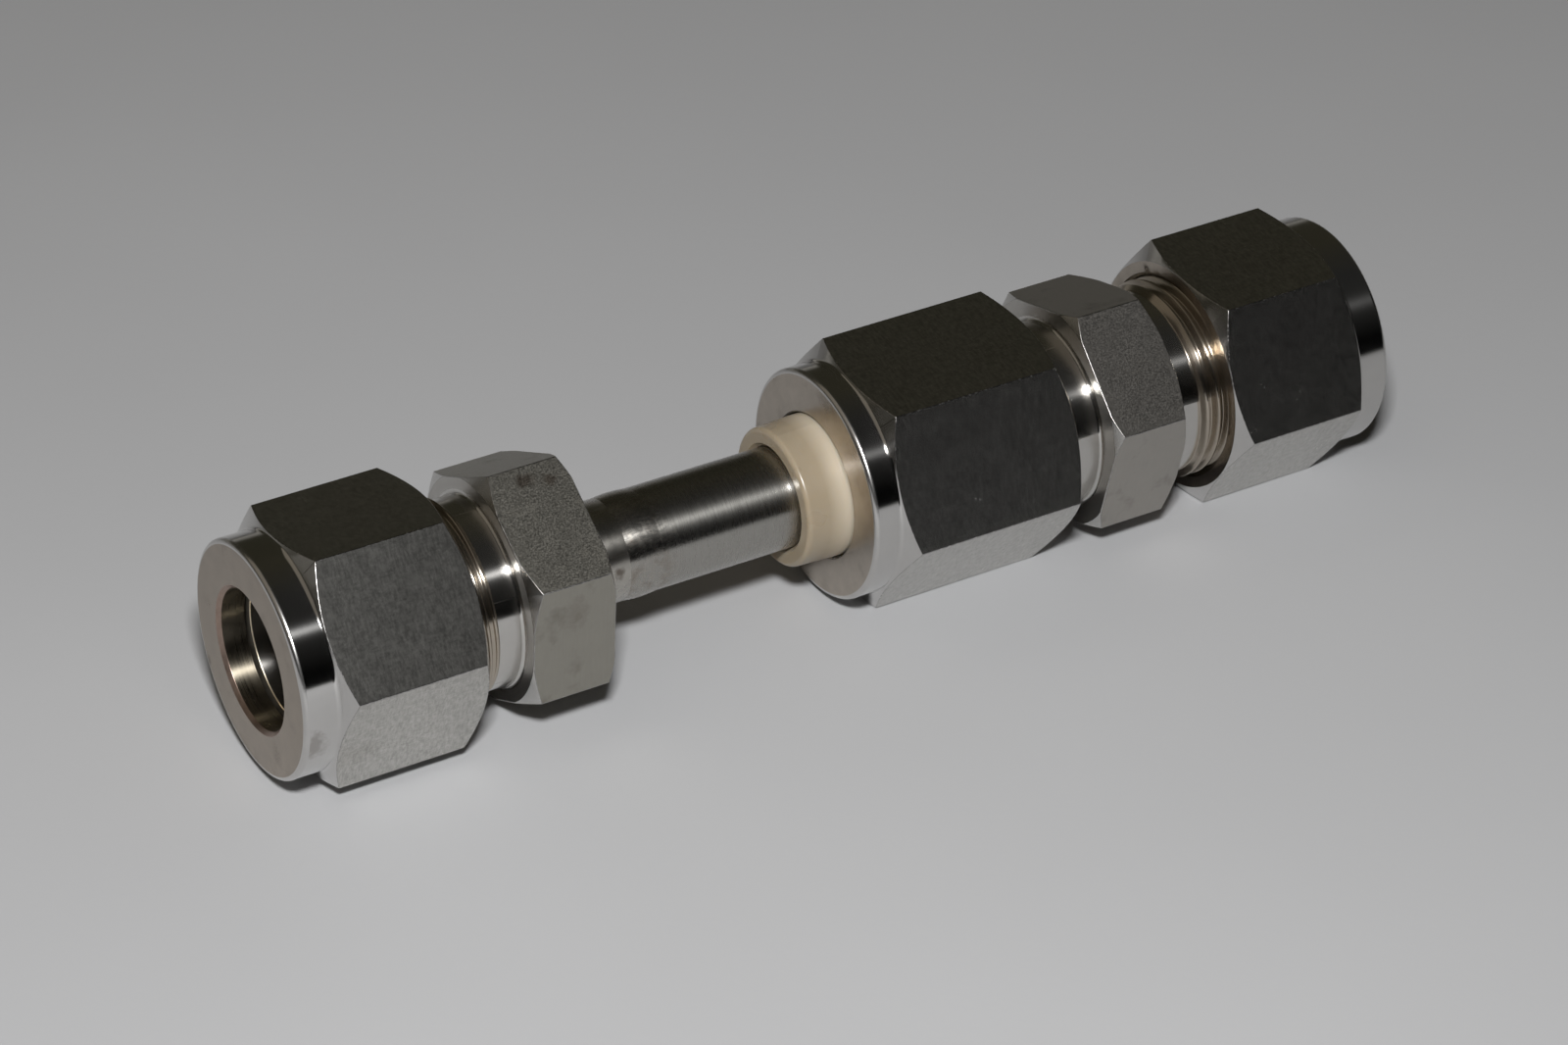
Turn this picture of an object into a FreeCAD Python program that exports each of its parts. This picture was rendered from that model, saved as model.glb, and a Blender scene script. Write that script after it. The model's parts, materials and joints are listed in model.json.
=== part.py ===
import FreeCAD, Part
import math
import os

# Insulating union between two half-inch tubes, in millimetres.
# The line of the pipe is the X axis. The origin is where the left tube stops, on that line.
# The stem half (left) is welded up from a tube-end body and a thin tube. Its inner flange is clamped
# between two plastic insulators by the coupling nut, so that no metal of it meets the union body (right).

# Driving sizes

# Tube ends with two ferrules, alike on both sides
tube_radius = 6.35
tube_clearance = 0.05
ferrule_bore_clearance = 0.07
nut_bore_clearance = 0.10
socket_depth_in_hex = 0.70
thread_radius = 9.525
thread_clearance = 0.05
thread_chamfer = 0.60
thread_entry = 0.40
relief_radius = 8.80
relief_length = 2.50
relief_fillet = 0.40
tube_end_length = 14.00
mouth_radius = 7.85
mouth_angle = 12.0

# Ferrules
front_ferrule_radius = 7.70
front_ferrule_band = 1.95
front_ferrule_length = 6.30
front_ferrule_recess = 0.90
ferrule_seat_clearance = 0.05
back_ferrule_radius = 7.75
back_ferrule_flange = 3.60
back_ferrule_entry = 0.50
back_ferrule_gap = 0.50
back_ferrule_nose_clearance = 0.03
ferrule_edge = 0.15

# Hexagons, with the turn of one corner above the horizontal, seen on the side nearer the viewer
nut_across_flats = 22.225
body_across_flats = 20.6375
body_hex_length = 8.10
chamfer_angle = 30.0
body_face_radius_outer = 10.40
body_face_radius_inner = 10.90
left_nut_turn = 68.3
stem_hex_turn = 88.2
coupling_nut_turn = 54.6
union_hex_turn = 76.9
right_nut_turn = 56.4

# Tube nuts
nut_length = 17.50
nut_collar_radius = 10.92
nut_collar_length = 3.22
nut_front_wall = 2.60
nut_mouth_chamfer = 0.35
nut_edge_round = 0.45
nut_collar_fillet = 0.50
nut_face_margin = 0.10
nut_cavity_clearance = 0.25
nut_cavity_length = 5.00
right_nut_slack = 0.50

# Stem
stem_radius = 4.7625
flow_radius = 3.52
stub_length = 4.60
weld_width = 3.40
weld_crown = 0.12
stem_length = 32.10
stem_flange_radius = 6.60
stem_flange_length = 2.60
spigot_radius = 5.30
spigot_length = 9.00
spigot_chamfer = 0.30

# Insulators
insulator_rim_radius = 6.56
insulator_sleeve_radius = 6.72
insulator_bore_clearance = 0.08
insulator_flange_radius = 8.20
insulator_flange_length = 2.40
insulator_sleeve_showing = 4.40
insulator_edge_round = 0.45
insulator_bore_chamfer = 0.35
skirt_clearance = 0.15
skirt_end_clearance = 0.10
rear_disc_length = 2.00
rear_sleeve_radius = 6.90
rear_end_gap = 0.40
rear_end_wall = 1.60
rear_fit_clearance = 0.08

# Coupling nut
coupling_length = 21.70
coupling_front_wall = 3.50
coupling_collar_length = 2.65
coupling_bore_clearance = 0.15
coupling_mouth_chamfer = 0.15
coupling_cavity_clearance = 0.12
coupling_thread_start = 9.50

# Union body
seal_end_length = 15.00
seal_nose_length = 1.00
union_flow_radius = 5.20
union_end_clearance = 0.20

# Seals
ring_width = 1.50
ring_corner = 0.42
backup_width = 0.80
backup_clearance = 0.02
groove_side_clearance = 0.20
groove_depth = 0.95
spigot_groove_start = 3.20
body_groove_start = 2.60

# How far a turned blank and a hexagonal bar reach past each other before they are cut together
cutting_margin = 0.10

# Worked out from the sizes above

slope = math.tan(math.radians(mouth_angle))
chamfer_slope = math.tan(math.radians(chamfer_angle))
left_stop = 0.0
stem_hex_face = left_stop - socket_depth_in_hex
stem_hex_back = stem_hex_face + body_hex_length
stub_end = stem_hex_back + stub_length
weld_end = stub_end + weld_width
stem_flange_face = stem_hex_back + stem_length
stem_flange_back = stem_flange_face + stem_flange_length
spigot_end = stem_flange_back + spigot_length
union_face = stem_flange_back + rear_disc_length
union_hex_face = union_face + seal_end_length
union_hex_back = union_hex_face + body_hex_length
right_stop = union_hex_back - socket_depth_in_hex
coupling_shoulder = stem_flange_face - insulator_flange_length
coupling_face = coupling_shoulder - coupling_front_wall
insulator_face = coupling_face - insulator_sleeve_showing

socket_radius = tube_radius + tube_clearance
ferrule_bore_radius = tube_radius + ferrule_bore_clearance
nut_bore_radius = tube_radius + nut_bore_clearance
tube_end_face = socket_depth_in_hex + tube_end_length
mouth_length = (mouth_radius - socket_radius) / slope
ferrule_shoulder = tube_end_face - (mouth_radius - front_ferrule_radius - ferrule_seat_clearance) / slope
front_ferrule_back = ferrule_shoulder + front_ferrule_band
nut_seat = front_ferrule_back + back_ferrule_gap + back_ferrule_flange
nut_face = nut_seat + nut_front_wall
rear_bore_radius = spigot_radius + rear_fit_clearance
union_bore_radius = rear_sleeve_radius + rear_fit_clearance
rear_sleeve_end = spigot_end + rear_end_gap + rear_end_wall
spigot_groove_radius = spigot_radius - groove_depth
body_groove_radius = union_bore_radius + groove_depth
groove_width = ring_width + backup_width + groove_side_clearance


def corner_arc(before, corner, after, radius):
    """Ends and middle of the arc that rounds a corner of an outline."""
    towards = (before - corner).normalize()
    away = (after - corner).normalize()
    half = math.acos(max(-1.0, min(1.0, towards.dot(away)))) / 2
    reach = radius / math.tan(half)
    bisector = (towards + away).normalize()
    middle = corner + bisector * (radius / math.sin(half) - radius)
    return corner + towards * reach, middle, corner + away * reach


def turned(outline, place=lambda s: s):
    """Turn a closed outline of (station, radius) or (station, radius, rounding) about the X axis."""
    points = [FreeCAD.Vector(place(item[0]), 0, item[1]) for item in outline]
    rounding = [item[2] if len(item) > 2 else 0.0 for item in outline]
    edges = []
    starts = []
    ends = []
    arcs = []
    for index, point in enumerate(points):
        if rounding[index] > 0:
            before = points[index - 1]
            after = points[(index + 1) % len(points)]
            first, middle, last = corner_arc(before, point, after, rounding[index])
            arcs.append(Part.Arc(first, middle, last).toShape())
            starts.append(first)
            ends.append(last)
        else:
            arcs.append(None)
            starts.append(point)
            ends.append(point)
    for index in range(len(points)):
        if arcs[index]:
            edges.append(arcs[index])
        edges.append(Part.LineSegment(ends[index], starts[(index + 1) % len(points)]).toShape())
    face = Part.Face(Part.Wire(edges))
    return face.revolve(FreeCAD.Vector(0, 0, 0), FreeCAD.Vector(1, 0, 0), 360)


def hex_bar(across_flats, turn, start, end):
    """Hexagonal bar along X, with one corner turned above the horizontal on the -Y side."""
    reach = across_flats / math.sqrt(3)
    corners = []
    for step in range(6):
        angle = math.radians(turn - 60 * step)
        corners.append(FreeCAD.Vector(start, -reach * math.cos(angle), reach * math.sin(angle)))
    face = Part.Face(Part.makePolygon(corners + corners[:1]))
    return face.extrude(FreeCAD.Vector(end - start, 0, 0))


def cut_from_hex(outline, across_flats, turn, place=lambda s: s):
    """A turned piece whose widest part keeps the flats of the hexagonal bar it was made from."""
    blank = turned(outline, place)
    box = blank.BoundBox
    bar = hex_bar(across_flats, turn, box.XMin - cutting_margin, box.XMax + cutting_margin)
    return blank.common(bar).Solids[0]


def hex_reach(across_flats):
    """Radius just outside the corners of a hexagon."""
    return across_flats / math.sqrt(3) + cutting_margin


def left_end(s):
    """Station on the left tube end: distance out from where its tube stops."""
    return left_stop - s


def right_end(s):
    """Station on the right tube end."""
    return right_stop + s


def threaded_tube_end(hex_face_radius):
    """Outline of a tube end from its hexagon's corner, over the thread and mouth, to the tube stop."""
    reach = hex_reach(body_across_flats)
    relief_end = socket_depth_in_hex + relief_length
    return [
        (socket_depth_in_hex - (reach - hex_face_radius) * chamfer_slope, reach),
        (socket_depth_in_hex, hex_face_radius),
        (socket_depth_in_hex, relief_radius, relief_fillet),
        (relief_end, relief_radius),
        (relief_end + thread_radius - relief_radius, thread_radius),
        (tube_end_face - thread_chamfer, thread_radius),
        (tube_end_face, thread_radius - thread_chamfer),
        (tube_end_face, mouth_radius),
        (tube_end_face - mouth_length, socket_radius),
        (0, socket_radius),
    ]


def make_stem_body():
    """Left tube end, hexagon and the short stub that the stem tube is welded to."""
    reach = hex_reach(body_across_flats)
    outline = threaded_tube_end(body_face_radius_outer)
    outline += [
        (0, flow_radius),
        (-stub_end, flow_radius),
        (-stub_end, stem_radius),
        (-stem_hex_back, stem_radius, relief_fillet),
        (-stem_hex_back, body_face_radius_inner),
        (-stem_hex_back + (reach - body_face_radius_inner) * chamfer_slope, reach),
    ]
    return cut_from_hex(outline, body_across_flats, stem_hex_turn, left_end)


def make_weld_bead():
    """Butt weld ground back to a low crown."""
    foot_start = FreeCAD.Vector(stub_end, 0, stem_radius)
    crown = FreeCAD.Vector(stub_end + weld_width / 2, 0, stem_radius + weld_crown)
    foot_end = FreeCAD.Vector(weld_end, 0, stem_radius)
    root_start = FreeCAD.Vector(stub_end, 0, flow_radius)
    root_end = FreeCAD.Vector(weld_end, 0, flow_radius)
    edges = [
        Part.Arc(foot_start, crown, foot_end).toShape(),
        Part.LineSegment(foot_end, root_end).toShape(),
        Part.LineSegment(root_end, root_start).toShape(),
        Part.LineSegment(root_start, foot_start).toShape(),
    ]
    face = Part.Face(Part.Wire(edges))
    return face.revolve(FreeCAD.Vector(0, 0, 0), FreeCAD.Vector(1, 0, 0), 360)


def make_stem_tube():
    """Thin tube with the flange that the insulators clamp and the grooved spigot behind it."""
    groove_start = stem_flange_back + spigot_groove_start
    groove_end = groove_start + groove_width
    return turned([
        (weld_end, flow_radius),
        (weld_end, stem_radius),
        (stem_flange_face, stem_radius),
        (stem_flange_face, stem_flange_radius),
        (stem_flange_back, stem_flange_radius),
        (stem_flange_back, spigot_radius),
        (groove_start, spigot_radius),
        (groove_start, spigot_groove_radius),
        (groove_end, spigot_groove_radius),
        (groove_end, spigot_radius),
        (spigot_end - spigot_chamfer, spigot_radius),
        (spigot_end, spigot_radius - spigot_chamfer),
        (spigot_end, flow_radius),
    ])


def make_front_insulator():
    """Plastic sleeve through the coupling nut, with the flange and skirt that cover the stem flange."""
    bore = stem_radius + insulator_bore_clearance
    skirt_bore = stem_flange_radius + skirt_clearance
    skirt_end = stem_flange_back - skirt_end_clearance
    return turned([
        (insulator_face + insulator_bore_chamfer, bore),
        (insulator_face, bore + insulator_bore_chamfer),
        (insulator_face, insulator_rim_radius, insulator_edge_round),
        (coupling_face, insulator_sleeve_radius),
        (coupling_shoulder, insulator_sleeve_radius),
        (coupling_shoulder, insulator_flange_radius),
        (skirt_end, insulator_flange_radius),
        (skirt_end, skirt_bore),
        (stem_flange_face, skirt_bore),
        (stem_flange_face, bore),
    ])


def make_rear_insulator():
    """Plastic cup that keeps the stem's flange and spigot clear of the union body."""
    return turned([
        (stem_flange_back, rear_bore_radius),
        (stem_flange_back, insulator_flange_radius),
        (union_face, insulator_flange_radius),
        (union_face, rear_sleeve_radius),
        (rear_sleeve_end, rear_sleeve_radius),
        (rear_sleeve_end, flow_radius),
        (spigot_end + rear_end_gap, flow_radius),
        (spigot_end + rear_end_gap, rear_bore_radius),
    ])


def make_union_body():
    """Right half: seal end with the coupling thread, hexagon, and the right tube end."""
    reach = hex_reach(body_across_flats)
    bore_end = rear_sleeve_end + union_end_clearance
    groove_start = union_face + body_groove_start
    groove_end = groove_start + groove_width
    nose_radius = thread_radius - thread_chamfer
    thread_start = union_face + seal_nose_length
    relief_start = union_hex_face - relief_length
    outline = [(right_end(s), *rest) for s, *rest in threaded_tube_end(body_face_radius_outer)]
    outline += [
        (right_stop, union_flow_radius),
        (bore_end, union_flow_radius),
        (bore_end, union_bore_radius),
        (groove_end, union_bore_radius),
        (groove_end, body_groove_radius),
        (groove_start, body_groove_radius),
        (groove_start, union_bore_radius),
        (union_face, union_bore_radius),
        (union_face, nose_radius),
        (thread_start, nose_radius),
        (thread_start + thread_chamfer, thread_radius),
        (relief_start - (thread_radius - relief_radius), thread_radius),
        (relief_start, relief_radius),
        (union_hex_face, relief_radius, relief_fillet),
        (union_hex_face, body_face_radius_inner),
        (union_hex_face + (reach - body_face_radius_inner) * chamfer_slope, reach),
    ]
    return cut_from_hex(outline, body_across_flats, union_hex_turn)


def make_seal_ring(groove_start, inner, outer):
    """Rubber ring pressed between the floor of its groove and the wall that it seals on."""
    start = groove_start + backup_width + groove_side_clearance / 2
    end = start + ring_width
    return turned([
        (start, inner, ring_corner),
        (start, outer, ring_corner),
        (end, outer, ring_corner),
        (end, inner, ring_corner),
    ])


def make_backup_ring(groove_start, inner, outer):
    """Flat ring beside the rubber ring, which keeps it from being squeezed out of its groove."""
    end = groove_start + backup_width
    return turned([
        (groove_start, inner + backup_clearance),
        (groove_start, outer - backup_clearance),
        (end, outer - backup_clearance),
        (end, inner + backup_clearance),
    ])


def make_front_ferrule(end, slack):
    """Cone that a tightened nut wedges between the body's mouth and the tube."""
    nose = front_ferrule_back - front_ferrule_length
    nose_radius = front_ferrule_radius - (ferrule_shoulder - nose) * slope
    recess_radius = ferrule_bore_radius + front_ferrule_recess
    outline = [
        (nose, ferrule_bore_radius),
        (nose, nose_radius),
        (ferrule_shoulder, front_ferrule_radius),
        (front_ferrule_back, front_ferrule_radius, ferrule_edge),
        (front_ferrule_back, recess_radius),
        (front_ferrule_back - front_ferrule_recess, ferrule_bore_radius),
    ]
    return turned(outline, lambda s: end(s + slack))


def make_back_ferrule(end, slack):
    """Ring with a bevelled nose in the front ferrule, a flat back against the nut and a bevelled entry."""
    flange_face = front_ferrule_back + back_ferrule_gap
    nose = front_ferrule_back - front_ferrule_recess + back_ferrule_nose_clearance + ferrule_edge
    nose_radius = ferrule_bore_radius + ferrule_edge
    neck_radius = nose_radius + front_ferrule_back - nose
    outline = [
        (nose, ferrule_bore_radius),
        (nose, nose_radius),
        (front_ferrule_back, neck_radius),
        (flange_face, neck_radius),
        (flange_face, back_ferrule_radius, ferrule_edge),
        (nut_seat, back_ferrule_radius, ferrule_edge),
        (nut_seat, ferrule_bore_radius + back_ferrule_entry),
        (nut_seat - back_ferrule_entry, ferrule_bore_radius),
    ]
    return turned(outline, lambda s: end(s + slack))


def nut_outside(length, collar_length):
    """Outline of a nut's outside, from the rim of its front face to the rim of its back face."""
    reach = hex_reach(nut_across_flats)
    back_radius = nut_across_flats / 2 - nut_face_margin
    return [
        (0, nut_collar_radius, nut_edge_round),
        (collar_length, nut_collar_radius, nut_collar_fillet),
        (collar_length + (reach - nut_collar_radius) * chamfer_slope, reach),
        (length - (reach - back_radius) * chamfer_slope, reach),
        (length, back_radius),
    ]


def nut_thread_bore(length, thread_start):
    """Outline of a nut's threaded bore, from its back face inwards."""
    bore = thread_radius + thread_clearance
    return [
        (length, bore + thread_entry),
        (length - thread_entry, bore),
        (thread_start, bore),
    ]


def make_tube_nut(end, slack, turn):
    """Hexagonal nut that drives the ferrules, with a plain collar round the tube's way in."""
    cavity_radius = back_ferrule_radius + nut_cavity_clearance
    cavity_end = nut_front_wall + nut_cavity_length
    outline = nut_outside(nut_length, nut_collar_length)
    outline += nut_thread_bore(nut_length, cavity_end)
    outline += [
        (cavity_end, cavity_radius),
        (nut_front_wall, cavity_radius),
        (nut_front_wall, nut_bore_radius),
        (nut_mouth_chamfer, nut_bore_radius),
        (0, nut_bore_radius + nut_mouth_chamfer),
    ]
    return cut_from_hex(outline, nut_across_flats, turn, lambda s: end(nut_face + slack - s))


def make_coupling_nut():
    """Longer nut that pulls the front insulator, and with it the stem's flange, to the union body."""
    cavity_radius = insulator_flange_radius + coupling_cavity_clearance
    bore = insulator_sleeve_radius + coupling_bore_clearance
    outline = nut_outside(coupling_length, coupling_collar_length)
    outline += nut_thread_bore(coupling_length, coupling_thread_start)
    outline += [
        (coupling_thread_start, cavity_radius),
        (coupling_front_wall, cavity_radius),
        (coupling_front_wall, bore),
        (coupling_mouth_chamfer, bore),
        (0, bore + coupling_mouth_chamfer),
    ]
    return cut_from_hex(outline, nut_across_flats, coupling_nut_turn, lambda s: coupling_face + s)


def make_parts():
    """Every piece of the union by name."""
    spigot_groove = stem_flange_back + spigot_groove_start
    body_groove = union_face + body_groove_start
    return {
        "left_nut": make_tube_nut(left_end, 0, left_nut_turn),
        "left_back_ferrule": make_back_ferrule(left_end, 0),
        "left_front_ferrule": make_front_ferrule(left_end, 0),
        "stem_body": make_stem_body(),
        "weld_bead": make_weld_bead(),
        "stem_tube": make_stem_tube(),
        "front_insulator": make_front_insulator(),
        "coupling_nut": make_coupling_nut(),
        "rear_insulator": make_rear_insulator(),
        "stem_seal_ring": make_seal_ring(spigot_groove, spigot_groove_radius, rear_bore_radius),
        "stem_backup_ring": make_backup_ring(spigot_groove, spigot_groove_radius, rear_bore_radius),
        "body_seal_ring": make_seal_ring(body_groove, rear_sleeve_radius, body_groove_radius),
        "body_backup_ring": make_backup_ring(body_groove, rear_sleeve_radius, body_groove_radius),
        "union_body": make_union_body(),
        "right_front_ferrule": make_front_ferrule(right_end, right_nut_slack),
        "right_back_ferrule": make_back_ferrule(right_end, right_nut_slack),
        "right_nut": make_tube_nut(right_end, right_nut_slack, right_nut_turn),
    }


def main():
    os.makedirs("parts", exist_ok=True)
    for name, shape in make_parts().items():
        if not shape.isValid() or shape.Volume <= 0:
            raise ValueError(name + " isn't a sound solid")
        shape.exportStep("parts/" + name + ".step")
        box = shape.BoundBox
        print(name, round(box.XMin, 3), round(box.XMax, 3), round(shape.Volume, 1))


main()
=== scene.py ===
"""Looks of the insulating union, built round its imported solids.

The X axis is the line of the pipe and Y grows away from the viewer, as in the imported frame.
Sizes are in millimetres unless a comment says otherwise, and meshes are scaled to metres as they are made.
"""

import json
import math

import bmesh
import bpy
import numpy as np
from mathutils import Matrix, Vector

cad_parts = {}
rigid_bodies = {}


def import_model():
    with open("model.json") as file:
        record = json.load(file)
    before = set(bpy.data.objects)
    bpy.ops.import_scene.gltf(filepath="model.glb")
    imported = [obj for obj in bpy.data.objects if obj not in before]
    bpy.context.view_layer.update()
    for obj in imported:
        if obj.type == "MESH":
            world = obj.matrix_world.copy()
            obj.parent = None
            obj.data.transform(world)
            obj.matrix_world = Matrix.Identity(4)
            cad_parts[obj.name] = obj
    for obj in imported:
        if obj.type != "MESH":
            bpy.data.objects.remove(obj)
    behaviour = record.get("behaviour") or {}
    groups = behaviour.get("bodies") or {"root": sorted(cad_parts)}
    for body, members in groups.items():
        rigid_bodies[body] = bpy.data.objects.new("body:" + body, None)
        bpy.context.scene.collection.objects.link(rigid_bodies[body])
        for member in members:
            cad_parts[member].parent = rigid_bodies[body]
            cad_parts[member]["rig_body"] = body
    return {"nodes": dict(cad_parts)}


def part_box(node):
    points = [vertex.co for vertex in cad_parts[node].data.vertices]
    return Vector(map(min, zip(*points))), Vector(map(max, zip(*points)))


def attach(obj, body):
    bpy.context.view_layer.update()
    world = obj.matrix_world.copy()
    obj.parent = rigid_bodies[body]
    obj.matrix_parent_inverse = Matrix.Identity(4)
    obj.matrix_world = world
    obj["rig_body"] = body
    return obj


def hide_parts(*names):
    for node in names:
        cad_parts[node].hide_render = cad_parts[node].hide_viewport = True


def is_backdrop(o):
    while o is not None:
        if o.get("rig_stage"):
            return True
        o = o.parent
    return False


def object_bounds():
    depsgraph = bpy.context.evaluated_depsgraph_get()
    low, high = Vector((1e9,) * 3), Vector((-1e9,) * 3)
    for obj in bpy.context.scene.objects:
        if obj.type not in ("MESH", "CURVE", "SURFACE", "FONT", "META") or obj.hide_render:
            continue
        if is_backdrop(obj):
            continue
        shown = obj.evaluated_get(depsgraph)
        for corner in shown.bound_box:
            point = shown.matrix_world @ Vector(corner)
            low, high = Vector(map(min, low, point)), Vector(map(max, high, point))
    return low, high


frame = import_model()
cad_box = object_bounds()

MM = 0.001
TAU = 2 * math.pi

# Sizes that follow the union's own solids
NUT_ACROSS_FLATS = 22.225
BODY_ACROSS_FLATS = 20.6375
CHAMFER_SLOPE = math.tan(math.radians(30))
BODY_FACE_RADIUS_OUTER = 10.40
BODY_FACE_RADIUS_INNER = 10.90
BODY_HEX_LENGTH = 8.10
SOCKET_DEPTH_IN_HEX = 0.70
SOCKET_RADIUS = 6.40
MOUTH_RADIUS = 7.85
MOUTH_SLOPE = math.tan(math.radians(12))
THREAD_RADIUS = 9.525
THREAD_CHAMFER = 0.60
RELIEF_RADIUS = 8.80
RELIEF_LENGTH = 2.50
RELIEF_FILLET = 0.40
TUBE_END_REACH = 14.70
NUT_COLLAR_RADIUS = 10.92
NUT_COLLAR_LENGTH = 3.22
NUT_COLLAR_FILLET = 0.50
NUT_EDGE_ROUND = 0.45
NUT_FACE_MARGIN = 0.10
NUT_MOUTH_CHAMFER = 0.35
NUT_BORE_RADIUS = 6.45
NUT_CAVITY_RADIUS = 8.00
NUT_FRONT_WALL = 2.60
NUT_THREAD_START = 7.60
NUT_THREAD_RADIUS = 9.575
NUT_THREAD_ENTRY = 0.40
COUPLING_COLLAR_LENGTH = 2.65
COUPLING_FRONT_WALL = 3.50
COUPLING_THREAD_START = 9.50
COUPLING_BORE_CLEARANCE = 0.15
COUPLING_CAVITY_CLEARANCE = 0.12
COUPLING_MOUTH_CHAMFER = 0.15
COUPLING_MOUTH_ROUND = 0.05
FERRULE_BORE_RADIUS = 6.42
FERRULE_ENTRY = 0.50
FERRULE_LIP = 0.16
FERRULE_NOSE_EDGE = 0.15
BACK_FERRULE_RADIUS = 7.75
BACK_FERRULE_FLANGE = 3.60
BACK_FERRULE_NOSE = 0.72
STEM_RADIUS = 4.7625
FLOW_RADIUS = 3.52
UNION_FLOW_RADIUS = 5.20
UNION_BORE_RADIUS = 6.98
UNION_END_CLEARANCE = 0.20
SEAL_NOSE_LENGTH = 1.00
SEAL_GROOVE_START = 2.60
SEAL_GROOVE_WIDTH = 2.50
SEAL_GROOVE_DEPTH = 0.95
INSULATOR_SLEEVE_RADIUS = 6.72
INSULATOR_FLANGE_RADIUS = 8.20

# Turn of one corner of each hexagon above the horizontal, on the viewer's side, in degrees
LEFT_NUT_TURN = 68.3
STEM_HEX_TURN = 88.2
COUPLING_NUT_TURN = 54.6
UNION_HEX_TURN = 76.9
RIGHT_NUT_TURN = 56.4

# Thread form: pitch, half of the crest and of the root as shares of it, depth of the groove, what an internal
# thread is wider by, and the shares of the pitch at which a thread has a row
THREAD_PITCH = 1.27
THREAD_CREST = 0.070
THREAD_ROOT = 0.125
THREAD_DEPTH = 0.70
THREAD_PLAY = 0.06
THREAD_PHASES = (0.0, 0.05, 0.08, 0.11, 0.22, 0.34, 0.375, 0.42, 0.5, 0.58, 0.625, 0.66, 0.78, 0.89, 0.92, 0.95)

# Rounding of turned edges and of a hexagon's corners, and the least that is chamfered off a hexagon
EDGE_ROUND = 0.07
HEX_CORNER_ROUND = 0.14
SMALLEST_CHAMFER = 0.10

# Steps of the meshes: round a hexagon's corner, over its flat, round a piece without one, and over a rounding
CORNER_STEPS = 3
FLAT_STEPS = 18
ROUND_STEPS = 128
ARC_STEPS = 4

# Most of the shorter stretch beside a corner that its rounding takes up
ROUNDING_SHARE = 0.45

# Two points closer than this, in metres, are one
WELD_DISTANCE = 2e-7

# Finishes that the stretches of an outline can have
FLAT = "flat"
TURNED = "turned"
FACE = "face"
EDGE = "edge"
THREAD = "thread"
BORE = "bore"
NECK = "neck"
STUB = "stub"
RIM = "rim"
ROUNDING = "rounding"
BEVEL = "bevel"


class Ring:
    """Angles about the X axis at which an outline is repeated, the last one a full turn after the first."""

    def __init__(self, angles, reach, on_corner):
        self.angles = np.array(angles)
        self.reach = np.array(reach)
        self.on_corner = np.array(on_corner)

    def __len__(self):
        return len(self.angles)


def round_ring(steps=ROUND_STEPS):
    """Even steps, for a piece with no hexagon."""
    angles = np.linspace(0, TAU, steps + 1)
    return Ring(angles, np.zeros(steps + 1), np.zeros(steps, bool))


def hexagon_ring(across_flats, turn):
    """Steps round a hexagonal bar with rounded corners, and how far the bar reaches at each."""
    apothem = across_flats / 2
    centre = across_flats / math.sqrt(3) - HEX_CORNER_ROUND / math.cos(TAU / 12)
    angles = []
    reach = []
    on_corner = []
    for corner in range(6):
        middle = math.pi - math.radians(turn) + corner * TAU / 6
        for swing in np.linspace(-TAU / 12, TAU / 12, CORNER_STEPS + 1):
            outward = centre + HEX_CORNER_ROUND * math.cos(swing)
            sideways = HEX_CORNER_ROUND * math.sin(swing)
            angles.append(middle + math.atan2(sideways, outward))
            reach.append(math.hypot(outward, sideways))
            on_corner.append(swing < TAU / 12 - 1e-9)
        half_corner = angles[-1] - middle
        for angle in np.linspace(angles[-1], middle + TAU / 6 - half_corner, FLAT_STEPS + 1)[1:-1]:
            angles.append(angle)
            reach.append(apothem / math.cos(angle - middle - TAU / 12))
            on_corner.append(False)
    angles.append(angles[0] + TAU)
    reach.append(reach[0])
    return Ring(angles, reach, on_corner)


def rounded(before, corner, after, radius):
    """Rows of the arc that rounds a corner, worked out at every angle of the ring at once."""
    back = before - corner
    ahead = after - corner
    back_length = np.linalg.norm(back, axis=-1, keepdims=True)
    ahead_length = np.linalg.norm(ahead, axis=-1, keepdims=True)
    back /= back_length
    ahead /= ahead_length
    half = np.arccos(np.clip((back * ahead).sum(-1, keepdims=True), -1, 1)) / 2
    reach = np.minimum(radius / np.tan(half), ROUNDING_SHARE * np.minimum(back_length, ahead_length))
    bisector = back + ahead
    bisector /= np.linalg.norm(bisector, axis=-1, keepdims=True)
    centre = corner + bisector * reach / np.cos(half)
    start = corner + back * reach - centre
    end = corner + ahead * reach - centre
    swing = math.pi - 2 * half
    shares = np.linspace(0, 1, ARC_STEPS + 1)
    return [centre + (np.sin((1 - t) * swing) * start + np.sin(t * swing) * end) / np.sin(swing) for t in shares]


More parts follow.
